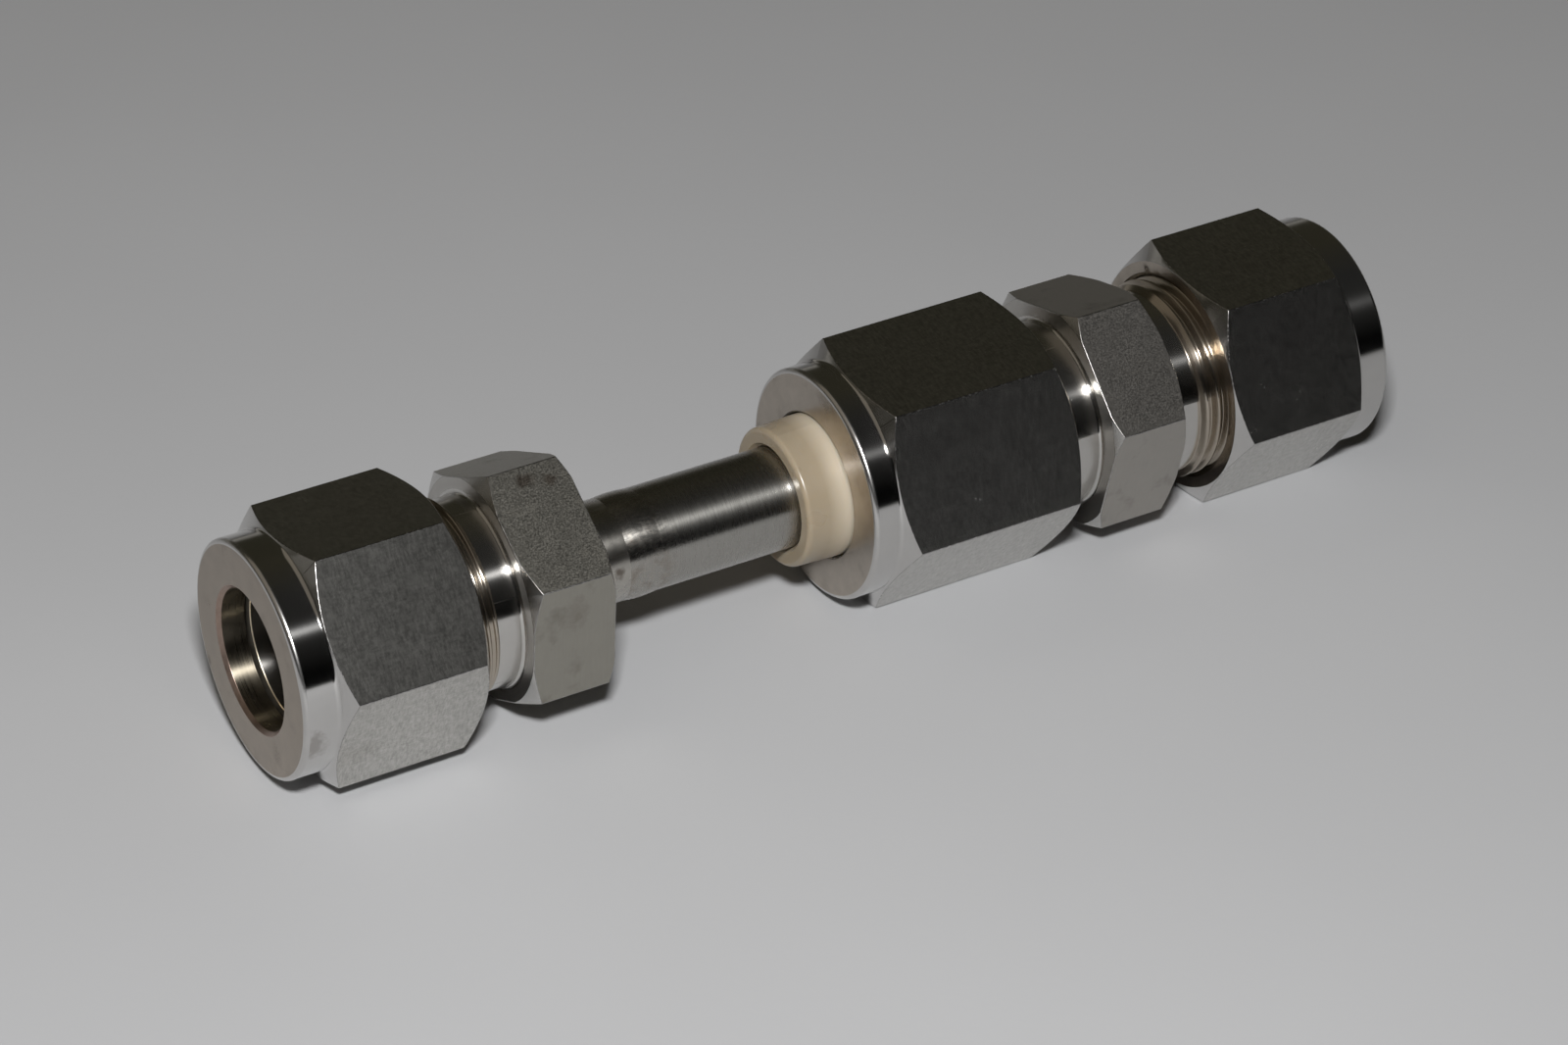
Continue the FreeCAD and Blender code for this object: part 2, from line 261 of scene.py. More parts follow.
class Outline:
    """Closed outline of a turned piece: corners and rows of (station, radius), each with the finish after it."""

    def __init__(self, ring, place=lambda station: station):
        self.ring = ring
        self.place = place
        self.items = []

    def spread(self, station, radius):
        """The same point, or one that varies with the angle, as one row round the ring."""
        row = np.empty((len(self.ring), 2))
        row[:, 0] = self.place(np.asarray(station, float))
        row[:, 1] = radius
        return row

    def to(self, station, radius, finish, rounding=0.0, edge=None):
        """Next corner, the finish of the stretch that follows it, and the finish of its own rounding."""
        rows = [self.spread(station, radius)]
        self.items.append({"rows": rows, "rounding": rounding, "finish": finish, "edge": edge or finish})

    def chamfered(self, station, radius, direction, first=True):
        """Rim of a hexagon's face and the start of its flats, in the order in which the outline meets them."""
        reach = self.ring.reach
        rim = np.minimum(radius, reach - SMALLEST_CHAMFER)
        shoulder = station + direction * (reach - rim) * CHAMFER_SLOPE
        if first:
            self.to(station, rim, TURNED, EDGE_ROUND, EDGE)
            self.to(shoulder, reach, FLAT, EDGE_ROUND, EDGE)
        else:
            self.to(shoulder, reach, TURNED, EDGE_ROUND, EDGE)
            self.to(station, rim, FACE, EDGE_ROUND, EDGE)

    def thread(self, start, end, limit, inside=False):
        """Rows that follow the helix from start to end. limit(x) bounds the radius where the thread runs out."""
        start = float(self.place(start))
        end = float(self.place(end))
        low = min(start, end)
        high = max(start, end)
        turns = self.ring.angles / TAU
        first = math.floor(low / THREAD_PITCH - turns.max())
        last = math.ceil(high / THREAD_PITCH - turns.min())
        phases = np.array([whole + part for whole in range(first, last + 1) for part in THREAD_PHASES])
        stations = np.clip(THREAD_PITCH * (phases[:, None] + turns[None, :]), low, high)
        depth = THREAD_DEPTH * groove(stations / THREAD_PITCH - turns)
        if inside:
            radii = np.maximum(THREAD_RADIUS + THREAD_PLAY - depth, limit(stations))
        else:
            radii = np.minimum(THREAD_RADIUS - depth, limit(stations))
        rows = [np.stack(pair, -1) for pair in zip(stations, radii)]
        if end < start:
            rows.reverse()
        self.items.append({"rows": rows, "rounding": 0.0, "finish": THREAD, "edge": THREAD})

    def rows(self):
        """All rows of the outline in order, and the finish of the band between each row and the next."""
        points = []
        finishes = []
        for index, item in enumerate(self.items):
            if item["rounding"] > 0:
                before = self.items[index - 1]["rows"][-1]
                after = self.items[(index + 1) % len(self.items)]["rows"][0]
                arc = rounded(before, item["rows"][0], after, item["rounding"])
                points += arc
                finishes += [item["edge"]] * (len(arc) - 1) + [item["finish"]]
            else:
                points += item["rows"]
                finishes += [item["finish"]] * len(item["rows"])
        return np.array(points), finishes


def groove(phase):
    """Depth of the thread's groove as a share, from 0 on the crest to 1 at the root, with softened corners."""
    from_crest = np.abs((phase + 0.5) % 1.0 - 0.5)
    share = np.clip((from_crest - THREAD_CREST) / (0.5 - THREAD_ROOT - THREAD_CREST), 0, 1)
    return 0.5 * share + 0.5 * share * share * (3 - 2 * share)


def make_piece(name, outline, materials):
    """Sweep an outline round its ring into a closed mesh, with one material for each finish."""
    points, finishes = outline.rows()
    ring = outline.ring
    row_count, column_count = points.shape[:2]
    places = np.stack([points[:, :, 0], points[:, :, 1] * np.cos(ring.angles),
                       points[:, :, 1] * np.sin(ring.angles)], -1) * MM
    index = np.arange(row_count * column_count).reshape(row_count, column_count)
    following = np.roll(index, -1, axis=0)
    faces = np.stack([index[:, :-1], following[:, :-1], following[:, 1:], index[:, 1:]], -1).reshape(-1, 4)
    mesh = bpy.data.meshes.new(name)
    mesh.from_pydata(places.reshape(-1, 3).tolist(), [], faces.tolist())
    names = list(dict.fromkeys(finishes + [EDGE] * bool(ring.on_corner.any())))
    for finish in names:
        mesh.materials.append(materials[finish])
    of_band = np.repeat([names.index(finish) for finish in finishes], column_count - 1)
    if EDGE in names:
        on_flat = np.repeat([finish == FLAT for finish in finishes], column_count - 1)
        on_corner = np.tile(ring.on_corner, row_count)
        of_band = np.where(on_flat & on_corner, names.index(EDGE), of_band)
    mesh.polygons.foreach_set("material_index", of_band.astype(np.int32))
    welded = bmesh.new()
    welded.from_mesh(mesh)
    bmesh.ops.remove_doubles(welded, verts=welded.verts, dist=WELD_DISTANCE)
    bmesh.ops.recalc_face_normals(welded, faces=welded.faces)
    if welded.calc_volume(signed=True) < 0:
        bmesh.ops.reverse_faces(welded, faces=welded.faces)
    for face in welded.faces:
        face.smooth = True
    welded.to_mesh(mesh)
    welded.free()
    piece = bpy.data.objects.new(name, mesh)
    bpy.context.scene.collection.objects.link(piece)
    shading = piece.modifiers.new("even_shading", "WEIGHTED_NORMAL")
    shading.keep_sharp = True
    return piece


def settle(piece, node):
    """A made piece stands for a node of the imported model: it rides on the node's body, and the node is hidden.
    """
    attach(piece, frame["nodes"][node]["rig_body"])
    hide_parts(node)


def span(node):
    """Where a node starts and ends along the pipe line."""
    low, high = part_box(node)
    return low.x / MM, high.x / MM


class Graph:
    """Wires the nodes of one material, group or world with short calls."""

    def __init__(self, tree):
        self.tree = tree

    def feed(self, socket, value):
        """Links a socket to the value if it is one too, and otherwise sets it."""
        if isinstance(value, bpy.types.NodeSocket):
            self.tree.links.new(value, socket)
        elif value is not None:
            socket.default_value = value

    def add(self, kind, inputs=(), **settings):
        """A new node with its inputs, by name or number, and its settings."""
        node = self.tree.nodes.new(kind)
        for name, value in settings.items():
            setattr(node, name, value)
        for key, value in dict(inputs).items():
            self.feed(node.inputs[key], value)
        return node

    def math(self, operation, first, second=None):
        return self.add("ShaderNodeMath", {0: first, 1: second}, operation=operation).outputs[0]

    def vector(self, operation, first, second=None):
        return self.add("ShaderNodeVectorMath", {0: first, 1: second}, operation=operation).outputs[0]

    def noise(self, vector, scale=1.0, detail=2.0, roughness=0.5, w=None):
        """Noise in space, or in space and w."""
        dimensions = "3D" if w is None else "4D"
        inputs = {"Vector": vector, "Scale": scale, "Detail": detail, "Roughness": roughness}
        node = self.add("ShaderNodeTexNoise", noise_dimensions=dimensions)
        if w is not None:
            inputs["W"] = w
        for key, value in inputs.items():
            self.feed(node.inputs[key], value)
        return node.outputs[0]

    def spread(self, value, low, high, to_low=0.0, to_high=1.0):
        """Maps low..high to to_low..to_high, held at both ends."""
        return self.add("ShaderNodeMapRange", {0: value, 1: low, 2: high, 3: to_low, 4: to_high}).outputs[0]

    def blend(self, share, first, second):
        """From the first colour at 0 to the second at 1."""
        return self.add("ShaderNodeMix", {0: share, 6: first, 7: second}, data_type="RGBA").outputs[2]

    def bump(self, height, distance, strength=1.0):
        inputs = {"Height": height, "Distance": distance, "Strength": strength}
        return self.add("ShaderNodeBump", inputs).outputs[0]


BLACK = (0, 0, 0, 1)

# Stretches of a noise's values over which something changes: the narrower, the harder the change
BROAD = (0.25, 0.75)
MEDIUM = (0.30, 0.70)
NARROW = (0.35, 0.65)


def shade(colour, share=1.0):
    """A colour made lighter or darker, for a socket."""
    return (colour[0] * share, colour[1] * share, colour[2] * share, 1.0)


def in_millimetres(g):
    """The object's own coordinates, which are those of the frame, in millimetres."""
    return g.vector("MULTIPLY", g.add("ShaderNodeTexCoord").outputs["Object"], (1 / MM, 1 / MM, 1 / MM))


def make_cylinder_group():
    """Coordinates round the pipe line, and the direction that crosses a turned surface's grooves."""
    tree = bpy.data.node_groups.new("round_the_pipe_line", "ShaderNodeTree")
    for name, kind in (("Along", "Float"), ("Out", "Float"), ("Round", "Vector"), ("Across", "Vector")):
        tree.interface.new_socket(name, in_out="OUTPUT", socket_type="NodeSocket" + kind)
    g = Graph(tree)
    along, side, up = g.add("ShaderNodeSeparateXYZ", {0: in_millimetres(g)}).outputs
    out = g.math("SQRT", g.math("ADD", g.math("MULTIPLY", side, side), g.math("MULTIPLY", up, up)))
    round_y = g.math("DIVIDE", side, out)
    round_z = g.math("DIVIDE", up, out)
    around = g.add("ShaderNodeCombineXYZ", {0: along, 1: round_y, 2: round_z}).outputs[0]
    geometry = g.add("ShaderNodeNewGeometry")
    grooves = g.vector("CROSS_PRODUCT", (1.0, 0.0, 0.0), geometry.outputs["Position"])
    across = g.vector("NORMALIZE", g.vector("CROSS_PRODUCT", geometry.outputs["Normal"], grooves))
    end = g.add("NodeGroupOutput")
    for name, value in (("Along", along), ("Out", out), ("Round", around), ("Across", across)):
        g.feed(end.inputs[name], value)
    return tree


cylinder_group = make_cylinder_group()


def new_material(name):
    """A material with an empty node tree, its Principled shader, and the shared coordinates."""
    material = bpy.data.materials.new(name)
    material.use_nodes = True
    material.node_tree.nodes.clear()
    g = Graph(material.node_tree)
    shader = g.add("ShaderNodeBsdfPrincipled")
    end = g.add("ShaderNodeOutputMaterial")
    g.feed(end.inputs["Surface"], shader.outputs[0])
    place = g.add("ShaderNodeGroup", node_tree=cylinder_group).outputs
    return material, g, shader, place


def lines_round(g, place, along, round_, out=0.0, detail=2.0):
    """Noise drawn out into fine lines round the pipe line. along and out are frequencies per millimetre."""
    vector = g.vector("MULTIPLY", place["Round"], (along, round_, round_))
    if out:
        return g.noise(vector, detail=detail, w=g.math("MULTIPLY", place["Out"], out))
    return g.noise(vector, detail=detail)


# Smudges: how far the edge strays and how much is as dark as the centre, as shares of the size, and the edge's
# frequency per millimetre
PATCH_RAG = 0.35
PATCH_CORE = 0.35
PATCH_EDGE = 1.3


def near(g, place, centre, size):
    """A soft patch with a ragged edge: 1 round its centre, 0 beyond its size, both in millimetres."""
    offset = g.vector("DIVIDE", g.vector("SUBTRACT", place, centre), size)
    distance = g.add("ShaderNodeVectorMath", {0: offset}, operation="LENGTH").outputs["Value"]
    ragged = g.spread(g.noise(place, PATCH_EDGE, detail=3.0, roughness=0.65), *MEDIUM, -PATCH_RAG, PATCH_RAG)
    return g.spread(g.math("ADD", distance, ragged), PATCH_CORE, 1.0, 1.0, 0.0)


# Frequencies of the marks on steel. The first two are per millimetre along the pipe line and per radius round it,
# and the others per millimetre.
BRUSHED = (4.5, 15.0, 15.0)
DEEP = (4.0, 7.0, 7.0)
CROSSING = (1.4, 4.5, 4.5)
GRAIN = 7.0
FURROWED = 20.0
STAINED = 0.35

# Brushing: the sway of the marks in either direction, where it is cut off, and how much it darkens or lightens
BRUSHED_SWAY = 1.1
CROSSING_SWAY = 0.7
SWAY_LIMIT = 0.8
BRUSHED_TONE = 0.21

# Deep scratches: the seed of their noise and which of its values count, how strongly they show, and their tone
DEEP_SEED = 3.0
DEEP_VALUES = (0.72, 0.80)
DEEP_SHARE = 0.15
DEEP_TONE = 1.3

# Blasted grain: how strongly its dark side shows, and its tone
GRAIN_SHARE = 0.25
GRAIN_TONE = 0.8

# Stains: which values of their noise count, what is left of each colour, and what they add to the roughness
STAINED_VALUES = (0.57, 0.76)
STAINED_TONE = (0.33, 0.30, 0.26)
STAINED_ROUGHNESS = 0.15

# Turned lines on all steel: how strongly they show, and their tone
LINES_SHARE = 0.25
LINES_TONE = 1.12


def brush(g, place, flat_place, colour, base, rough, strength):
    """Light scratches in two directions and a few deep ones. strength is what they add to the roughness."""
    brushed = g.noise(g.vector("MULTIPLY", place["Round"], BRUSHED), detail=3.0, roughness=0.65)
    deep = g.noise(g.vector("MULTIPLY", place["Round"], DEEP), detail=1.0, w=DEEP_SEED)
    crossing = g.noise(g.vector("MULTIPLY", flat_place, CROSSING), detail=3.0, roughness=0.7)
    sway = g.math("ADD", g.spread(brushed, *BROAD, -BRUSHED_SWAY, BRUSHED_SWAY),
                  g.spread(crossing, *BROAD, -CROSSING_SWAY, CROSSING_SWAY))
    sway = g.spread(sway, -SWAY_LIMIT, SWAY_LIMIT, -SWAY_LIMIT, SWAY_LIMIT)
    rough = g.math("ADD", rough, g.math("MULTIPLY", sway, strength))
    darker = g.blend(BRUSHED_TONE, base, BLACK)
    base = g.blend(g.spread(sway, -SWAY_LIMIT, SWAY_LIMIT), darker, shade(colour, 1 + BRUSHED_TONE))
    base = g.blend(g.spread(deep, *DEEP_VALUES, 0.0, DEEP_SHARE), base, shade(colour, DEEP_TONE))
    return base, rough


def blast(g, flat_place, colour, base, rough, strength):
    """Fine even grain, smoother where it is darker."""
    speckle = g.noise(flat_place, GRAIN, roughness=0.6)
    rough = g.math("ADD", rough, g.spread(speckle, *NARROW, -strength, strength))
    base = g.blend(g.spread(speckle, *NARROW, GRAIN_SHARE, 0.0), base, shade(colour, GRAIN_TONE))
    return base, rough


def stain(g, flat_place, colour, base, rough, strength):
    """Large patches that are darker, browner and duller."""
    share = g.spread(g.noise(flat_place, STAINED, detail=3.0, roughness=0.55), *STAINED_VALUES, 0.0, strength)
    base = g.blend(share, base, shade([level * left for level, left in zip(colour, STAINED_TONE)]))
    rough = g.math("ADD", rough, g.math("MULTIPLY", share, STAINED_ROUGHNESS))
    return base, rough


def steel(name, colour, roughness, lines, mottle, mottle_size=1.5, anisotropic=0.0, line_height=0.0,
          scratches=0.0, grain=0.0, furrows=0.0, stains=0.0, smudges=()):
    """Stainless steel, with the lines that a tool leaves round the pipe line. Lengths are in millimetres.

    lines holds what lines_round takes, mottle lets tone and roughness wander, and anisotropic draws reflections
    out across the lines. scratches, grain, furrows and stains are strengths. Each smudge has a centre, a size and
    a strength.
    """
    material, g, shader, place = new_material(name)
    shader.inputs["Metallic"].default_value = 1.0
    shader.inputs["Anisotropic"].default_value = anisotropic
    g.feed(shader.inputs["Tangent"], place["Across"])
    flat_place = in_millimetres(g)
    fine = lines_round(g, place, *lines)
    cloud = g.noise(flat_place, 1 / mottle_size, detail=4.0, roughness=0.6)
    base = g.blend(g.spread(cloud, *MEDIUM), shade(colour, 1 - mottle), shade(colour, 1 + mottle))
    base = g.blend(g.spread(fine, *NARROW, 0.0, LINES_SHARE), base, shade(colour, LINES_TONE))
    rough = g.spread(cloud, *BROAD, roughness * (1 - mottle), roughness * (1 + mottle))
    if scratches:
        base, rough = brush(g, place, flat_place, colour, base, rough, scratches)
    if grain:
        base, rough = blast(g, flat_place, colour, base, rough, grain)
    if furrows:
        furrow = lines_round(g, place, FURROWED, 1.0, FURROWED, 1.0)
        rough = g.math("ADD", rough, g.spread(furrow, *NARROW, -furrows, furrows))
    if stains:
        base, rough = stain(g, flat_place, colour, base, rough, stains)
    for centre, size, strength in smudges:
        base = g.blend(g.math("MULTIPLY", near(g, flat_place, centre, size), strength), base, shade(SMUDGE))
    g.feed(shader.inputs["Base Color"], base)
    g.feed(shader.inputs["Roughness"], rough)
    if line_height:
        g.feed(shader.inputs["Normal"], g.bump(fine, line_height * MM))
    return material


# Plastic: the wander of its roughness, the ripple's frequencies along, round and out and its height, and how far
# light spreads in it, by colour
PLASTIC_ROUGHNESS = (0.9, 1.15)
RIPPLE = (5.0, 0.6, 5.0)
RIPPLE_HEIGHT = 0.004
SUBSURFACE_SCALE = 1.5
SUBSURFACE_RADIUS = (1.0, 0.7, 0.4)


def plastic(name, dark, light, roughness, cloud_size=3.0, subsurface=0.0, painted_light=None):
    """Moulded plastic or rubber with a slow change of colour and a very slight ripple.

    painted_light names a start and an end along the pipe line, and the paler colour that it changes to between
    them. That paler colour is painted light.
    """
    material, g, shader, place = new_material(name)
    flat_place = in_millimetres(g)
    cloud = g.noise(flat_place, 1 / cloud_size, detail=3.0, roughness=0.55)
    ripple = lines_round(g, place, *RIPPLE)
    base = g.blend(g.spread(cloud, *MEDIUM), dark, light)
    if painted_light:
        start, end, colour = painted_light
        # Painted light: the colour turns paler along the pipe line from start to end.
        base = g.blend(g.spread(place["Along"], start, end), base, colour)
    g.feed(shader.inputs["Base Color"], base)
    least, most = PLASTIC_ROUGHNESS
    g.feed(shader.inputs["Roughness"], g.spread(cloud, *MEDIUM, roughness * least, roughness * most))
    g.feed(shader.inputs["Normal"], g.bump(ripple, RIPPLE_HEIGHT * MM))
    if subsurface:
        shader.inputs["Subsurface Weight"].default_value = subsurface
        shader.inputs["Subsurface Radius"].default_value = SUBSURFACE_RADIUS
        shader.inputs["Subsurface Scale"].default_value = SUBSURFACE_SCALE * MM
    return material


# Brown and grey marks that are on the object: centre, size across and strength of each
SMUDGE = (0.15, 0.12, 0.095)
NUT_FLAT_SMUDGES = (((-18.05, -9.83, -5.34), (3.0, 2.5, 2.0), 0.15),)
NUT_COLLAR_SMUDGES = (((-22.0, -10.72, -2.5), (1.3, 1.5, 2.0), 0.40),)
NUT_FACE_SMUDGES = (((-22.88, 8.75, -5.6), (0.6, 0.55, 1.0), 0.85),)
STUB_SMUDGES = (((10.9, -4.7, 0.7), (0.6, 0.7, 0.7), 0.8),)
STEM_FLAT_SMUDGES = (((3.14, -1.49, 11.22), (1.2, 0.7, 0.7), 0.75), ((5.25, -2.05, 10.87), (0.8, 0.8, 0.8), 0.7),
                     ((3.31, -10.4, 2.54), (1.6, 0.8, 2.2), 0.22))

# Finishes of the nuts, the bodies, the ferrules and the plastic and rubber pieces
nut_finishes = {
    FLAT: steel("nut_flats", (0.50, 0.49, 0.462), 0.26, lines=(7.0, 6.0), mottle=0.04, mottle_size=2.5,
                scratches=0.008, smudges=NUT_FLAT_SMUDGES),
    TURNED: steel("nut_turned", (0.60, 0.59, 0.575), 0.12, anisotropic=1.0, lines=(22.0, 1.0, 22.0),
                  line_height=0.0005, mottle=0.03, mottle_size=3.0, smudges=NUT_COLLAR_SMUDGES),
    FACE: steel("nut_faces", (0.44, 0.395, 0.342), 0.24, anisotropic=0.5, lines=(12.0, 1.0, 12.0),
                line_height=0.001, mottle=0.10, mottle_size=1.6, stains=0.3),
    EDGE: steel("nut_edges", (0.38, 0.37, 0.36), 0.24, anisotropic=0.3, lines=(10.0, 2.0, 10.0),
                line_height=0.001, mottle=0.35, mottle_size=0.4),
    ROUNDING: steel("nut_roundings", (0.60, 0.59, 0.575), 0.23, lines=(12.0, 1.0, 12.0), line_height=0.0005,
                    mottle=0.05, mottle_size=2.0),
    THREAD: steel("nut_threads", (0.50, 0.46, 0.39), 0.26, anisotropic=0.8, lines=(14.0, 1.0, 14.0),
                  line_height=0.001, mottle=0.05, mottle_size=2.0),
    BORE: steel("nut_bore", (0.255, 0.228, 0.178), 0.315, anisotropic=0.88, lines=(5.0, 4.0, 5.0),
                line_height=0.001, mottle=0.12, mottle_size=2.0, furrows=0.05, stains=0.4),
    RIM: steel("nut_rim", (0.36, 0.27, 0.225), 0.36, anisotropic=0.3, lines=(6.0, 3.0, 6.0), line_height=0.001,
               mottle=0.15, mottle_size=1.0, stains=0.4),
}
left_nut_finishes = dict(nut_finishes)
# The left nut's face: the same steel as the other nuts' faces, darker in colour, with the same roughness.
left_nut_finishes[FACE] = steel("darker_left_nut_face", (0.336, 0.290, 0.239), 0.24, anisotropic=0.5,
                                lines=(12.0, 1.0, 12.0), line_height=0.001, mottle=0.10, mottle_size=1.6,
                                stains=0.3, smudges=NUT_FACE_SMUDGES)
body_finishes = {
    FLAT: steel("body_flats", (0.41, 0.39, 0.36), 0.385, lines=(5.0, 5.0), mottle=0.03, grain=0.065,
                stains=0.4),
    TURNED: steel("body_turned", (0.56, 0.55, 0.53), 0.22, anisotropic=1.0, lines=(18.0, 1.0, 18.0),
                  line_height=0.001, mottle=0.04, mottle_size=2.5),
    FACE: steel("body_faces", (0.53, 0.515, 0.49), 0.30, anisotropic=0.7, lines=(10.0, 1.0, 10.0),
                line_height=0.002, mottle=0.05, mottle_size=2.0),
    EDGE: steel("body_edges", (0.36, 0.35, 0.335), 0.34, anisotropic=0.2, lines=(10.0, 2.0, 10.0),
                line_height=0.001, mottle=0.3, mottle_size=0.5),
    THREAD: steel("body_threads", (0.46, 0.41, 0.345), 0.20, anisotropic=0.85, lines=(16.0, 1.0, 16.0),
                  line_height=0.001, mottle=0.05, mottle_size=2.0),
    NECK: steel("body_necks", (0.60, 0.585, 0.56), 0.155, anisotropic=1.0, lines=(16.0, 1.0, 16.0),
                line_height=0.0005, mottle=0.03, mottle_size=2.5),
    STUB: steel("stub", (0.50, 0.48, 0.44), 0.28, anisotropic=0.85, lines=(14.0, 1.0, 14.0), line_height=0.0006,
                mottle=0.10, smudges=STUB_SMUDGES),
    BORE: steel("body_bore", (0.36, 0.34, 0.30), 0.36, anisotropic=0.7, lines=(9.0, 0.8, 9.0),
                line_height=0.002, mottle=0.15),
}
stem_finishes = dict(body_finishes)
stem_finishes[FLAT] = steel("stem_flats", (0.36, 0.345, 0.305), 0.385, lines=(5.0, 5.0), mottle=0.03,
                            grain=0.075, stains=0.4, smudges=STEM_FLAT_SMUDGES)
ferrule_finishes = {
    FACE: steel("ferrules", (0.56, 0.54, 0.51), 0.22, anisotropic=0.9, lines=(14.0, 1.0, 14.0),
                line_height=0.001, mottle=0.05, mottle_size=2.0),
    # The entry bevel is near black: painted shade, standing for the shade in the gap between the nut's bore and
    # the ferrule.
    BEVEL: steel("ferrule_bevel_painted_shade", (0.10, 0.09, 0.075), 0.45, lines=(8.0, 1.0, 8.0), line_height=0.001,
                 mottle=0.15, mottle_size=1.0),
    EDGE: steel("ferrule_edges", (0.80, 0.70, 0.53), 0.34, lines=(8.0, 1.0, 8.0), line_height=0.001,
                mottle=0.05, mottle_size=1.0),
}

# The front insulator's sleeve grows paler between two places just before the coupling nut's face. This paler
# colour is painted light: the light that the nut's bright face throws back onto the sleeve.
PAINTED_LIGHT_TONE = (0.47, 0.41, 0.32, 1)
PAINTED_LIGHT_FROM = -2.2
PAINTED_LIGHT_TO = -0.6
nut_face = span("coupling_nut")[0]
insulator_finish = plastic("ivory_plastic", (0.305, 0.250, 0.176, 1), (0.35, 0.292, 0.212, 1), 0.29,
                           cloud_size=5.0, subsurface=0.35,
                           painted_light=(nut_face + PAINTED_LIGHT_FROM, nut_face + PAINTED_LIGHT_TO, PAINTED_LIGHT_TONE))
seal_finish = plastic("seal_rubber", (0.02, 0.02, 0.02, 1), (0.035, 0.035, 0.035, 1), 0.45)
backup_finish = plastic("backup_plastic", (0.80, 0.79, 0.75, 1), (0.86, 0.85, 0.82, 1), 0.4)

# Tones of the sanded tube, of its weld and of the stain beside it
TUBE_DARK = (0.375, 0.365, 0.34, 1)
TUBE_LIGHT = (0.40, 0.39, 0.365, 1)
WELD_TONE = (0.43, 0.41, 0.375, 1)
WELD_STAIN = (0.20, 0.15, 0.11, 1)

# Frequencies of the marks on the tube: its sanding, per millimetre along it and per radius round it, and the
# scratches on the weld, the clouds of its stain and the wander of its edge, per millimetre
SANDING = (7.0, 2.5, 2.5)
WELD_SCRATCHES = (1.6, 5.0, 1.2)
STAIN_CLOUDS = 0.6
WELD_EDGE = 0.5

# Which values of the noises show as weld and as stain
WELD_VALUES = (0.35, 0.62)
STAIN_VALUES = (0.52, 0.72)

# How far the edge of the weld strays along the tube, and where its traces rise and fall, from its start and end
WELD_WANDER = 1.2
WELD_RISE = (-0.2, 0.5)
WELD_FALL = (0.4, 2.6)

# How much the tube draws reflections out, its roughness, and what the scratches on the weld do to it
TUBE_ANISOTROPY = 0.80
TUBE_ROUGHNESS = (0.262, 0.290)
WELD_ROUGHNESS = (-0.045, 0.03)

# How strongly the stain shows, the height of the scratches, and the share of it that the sanding has
WELD_STAIN_SHARE = 0.45
TUBE_SCRATCH = 0.003
SANDING_SHARE = 0.10


def make_tube_finish():
    """Thin tube sanded by hand, with the ground weld, its scratched run-out and a brown stain.

    The weld's own solid has this finish too, so that the marks run on from one to the other.
    """
    material, g, shader, place = new_material("sanded_tube")
    shader.inputs["Metallic"].default_value = 1.0
    shader.inputs["Anisotropic"].default_value = TUBE_ANISOTROPY
    g.feed(shader.inputs["Tangent"], place["Across"])
    flat_place = in_millimetres(g)
    wander = g.math("MULTIPLY", g.noise(flat_place, WELD_EDGE), WELD_WANDER)
    along = g.math("ADD", place["Along"], wander)
    start, end = span("weld_bead")
    rising = g.spread(along, start + WELD_RISE[0], start + WELD_RISE[1])
    falling = g.spread(along, end + WELD_FALL[0], end + WELD_FALL[1], 1.0, 0.0)
    weld = g.math("MULTIPLY", rising, falling)
    sanding = g.noise(g.vector("MULTIPLY", place["Round"], SANDING), detail=3.0, roughness=0.6)
    cloud = g.noise(flat_place, STAIN_CLOUDS, detail=3.0, roughness=0.6)
    crossed = g.noise(g.vector("MULTIPLY", flat_place, WELD_SCRATCHES), detail=3.0, roughness=0.65)
    base = g.blend(g.spread(sanding, *NARROW), TUBE_DARK, TUBE_LIGHT)
    base = g.blend(g.math("MULTIPLY", weld, g.spread(crossed, *WELD_VALUES)), base, WELD_TONE)
    stained = g.math("MULTIPLY", weld, g.spread(cloud, *STAIN_VALUES))
    base = g.blend(g.math("MULTIPLY", stained, WELD_STAIN_SHARE), base, WELD_STAIN)
    rough = g.spread(sanding, *MEDIUM, *TUBE_ROUGHNESS)
    rough = g.math("ADD", rough, g.math("MULTIPLY", weld, g.spread(crossed, *MEDIUM, *WELD_ROUGHNESS)))
    g.feed(shader.inputs["Base Color"], base)
    g.feed(shader.inputs["Roughness"], rough)
    height = g.math("ADD", g.math("MULTIPLY", sanding, SANDING_SHARE), g.math("MULTIPLY", weld, crossed))
    g.feed(shader.inputs["Normal"], g.bump(height, TUBE_SCRATCH * MM))
    return material


tube_finish = make_tube_finish()


def from_outer_face(node, mirrored=False):
    """What turns a distance from a node's outer face into a station, and the node's length."""
    low, high = span(node)
    if mirrored:
        return (lambda distance: high - distance), high - low
    return (lambda distance: low + distance), high - low


def nut_outside(outline, length, collar_length):
    """From the rim of the front face, over the collar and the hexagon, to the rim of the back face."""
    reach = outline.ring.reach
    outline.to(0, NUT_COLLAR_RADIUS, TURNED, NUT_EDGE_ROUND, ROUNDING)
    outline.to(collar_length, NUT_COLLAR_RADIUS, TURNED, NUT_COLLAR_FILLET)
    outline.to(collar_length + (reach - NUT_COLLAR_RADIUS) * CHAMFER_SLOPE, reach, FLAT, EDGE_ROUND, EDGE)
    back_radius = NUT_ACROSS_FLATS / 2 - NUT_FACE_MARGIN
    outline.to(length - (reach - back_radius) * CHAMFER_SLOPE, reach, TURNED, EDGE_ROUND, EDGE)
    outline.to(length, back_radius, FACE, EDGE_ROUND, EDGE)


def nut_thread(outline, length, inner_end):
    """Internal thread from the back face to its blind end, with a countersunk entry."""
    entry = NUT_THREAD_RADIUS + NUT_THREAD_ENTRY
    back = float(outline.place(length))
    outline.thread(length, inner_end, lambda x: entry - np.abs(x - back), inside=True)


